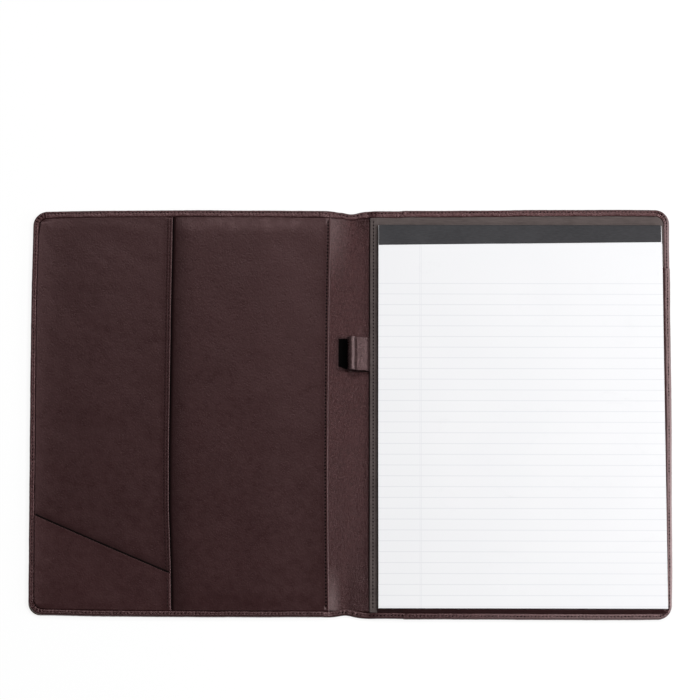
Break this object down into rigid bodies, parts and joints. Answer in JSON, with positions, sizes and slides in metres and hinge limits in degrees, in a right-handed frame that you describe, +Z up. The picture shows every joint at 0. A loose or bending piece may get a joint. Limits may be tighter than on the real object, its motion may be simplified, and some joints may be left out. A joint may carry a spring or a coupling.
{
  "type": "padfolio",
  "caption": "Open padfolio: two padded covers joined by a flexible spine, document and card pockets, a pen loop and a removable top-bound writing pad.",
  "frame": {"origin": "middle of the spine, half way up the folder, on the surface it lies on, with the folder open flat", "axes": "+X across the open folder from the front cover to the back cover that holds the pad, +Y towards the top of the sheets, +Z up out of the page"},
  "size_m": [0.486, 0.3174, 0.0115],
  "materials": {
    "outer_leather": "smooth oxblood-brown leather with a low sheen, turned and stitched edges",
    "inner_leather": "smooth, very fine-grained oxblood-brown leather",
    "spine_leather": "creased, pebbled oxblood-brown leather with soft highlights",
    "grey_lining": "matt grey-brown lining",
    "stiffener": "raw board",
    "padding": "thin foam",
    "paper": "white writing paper with faint grey rules",
    "backing": "grey-brown chipboard",
    "binding_tape": "charcoal paper tape, matt"
  },
  "bodies": {
    "spine_middle": {"spine_leather_middle": "outer_leather", "spine_lining_middle": "spine_leather"},
    "spine_back": {"spine_leather_back": "outer_leather", "spine_lining_back": "spine_leather"},
    "spine_front": {"spine_leather_front": "outer_leather", "spine_lining_front": "spine_leather"},
    "back_cover": {"back_cover_leather": "outer_leather", "back_turned_edge": "outer_leather", "back_stiffener_board": "stiffener", "back_padding": "padding", "back_lining": "grey_lining", "pad_slot_panel": "inner_leather"},
    "front_cover": {"front_cover_leather": "outer_leather", "front_turned_edge": "outer_leather", "front_stiffener_board": "stiffener", "front_padding": "padding", "front_lining": "inner_leather", "document_pocket": "inner_leather", "card_pocket": "inner_leather"},
    "pen_loop": {"pen_loop": "spine_leather"},
    "pad": {"pad_backing_board": "backing", "pad_sheets": "paper", "pad_binding_tape": "binding_tape"},
    "top_sheet": {"top_sheet": "paper"}
  },
  "joints": [
    {"name": "fold_spine_back", "type": "hinge", "parent": "spine_middle", "child": "spine_back", "pos_m": [0.0053, 0, 0.00115], "axis": [0, -1, 0], "range_deg": [0, 54.6]},
    {"name": "fold_back", "type": "hinge", "parent": "spine_back", "child": "back_cover", "pos_m": [0.0159, 0, 0.00115], "axis": [0, -1, 0], "range_deg": [0, 36.5]},
    {"name": "fold_spine_front", "type": "hinge", "parent": "spine_middle", "child": "spine_front", "pos_m": [-0.0053, 0, 0.00115], "axis": [0, 1, 0], "range_deg": [0, 54.6]},
    {"name": "fold_front", "type": "hinge", "parent": "spine_front", "child": "front_cover", "pos_m": [-0.0159, 0, 0.00115], "axis": [0, 1, 0], "range_deg": [0, 36.5]},
    {"name": "pen_loop_root", "type": "hinge", "parent": "spine_back", "child": "pen_loop", "pos_m": [0.0146, 0.04435, 0.0026], "axis": [0, 1, 0], "range_deg": [0, 44]},
    {"name": "pad_slide", "type": "slide", "parent": "back_cover", "child": "pad", "axis": [0, 1, 0], "range_m": [0, 0.27]},
    {"name": "sheet_turn", "type": "hinge", "parent": "pad", "child": "top_sheet", "pos_m": [0.12945, 0.131, 0.009], "axis": [-1, 0, 0], "range_deg": [0, 179]}
  ],
  "couplings": [
    {"joint": "fold_back", "follows": "fold_spine_back", "ratio": 0.66667},
    {"joint": "pen_loop_root", "follows": "fold_spine_back", "ratio": 0.8},
    {"joint": "fold_front", "follows": "fold_spine_front", "ratio": 0.66667}
  ]
}
